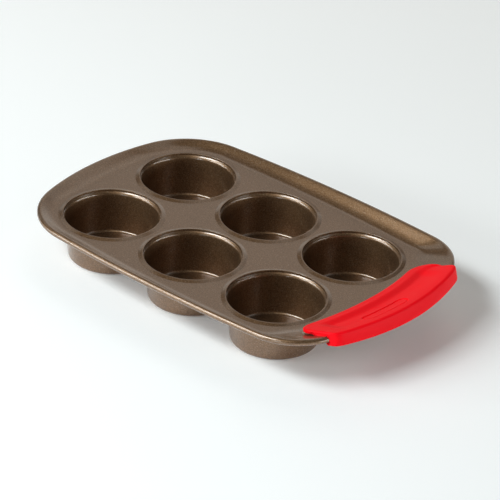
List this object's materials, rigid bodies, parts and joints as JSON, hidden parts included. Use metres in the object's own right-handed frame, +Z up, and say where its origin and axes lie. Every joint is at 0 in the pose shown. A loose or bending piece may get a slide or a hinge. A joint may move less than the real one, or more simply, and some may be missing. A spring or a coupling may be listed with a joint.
{
  "type": "muffin pan",
  "caption": "Rectangular muffin pan with drawn round cups, a flared border, a curled rim and a soft curved grip hooked over the handle end.",
  "frame": {"origin": "on the table under the middle of the whole object's outline", "axes": "+X along the pan towards the grip, +Y across the pan, +Z up out of the cups"},
  "size_m": [0.3086, 0.1974, 0.0456],
  "materials": {
    "non_stick": "satin bronze non-stick coating with a fine metallic fleck",
    "wire": "plain drawn wire",
    "silicone": "satin moulded"
  },
  "bodies": {
    "pan": {"pan_body": "non_stick", "rim_wire": "wire"},
    "grip": {"silicone_grip": "silicone"}
  },
  "joints": [
    {"name": "grip_slide", "type": "slide", "parent": "pan", "child": "grip", "axis": [0.9636, 0, 0.2672], "range_m": [0, 0.045]}
  ]
}
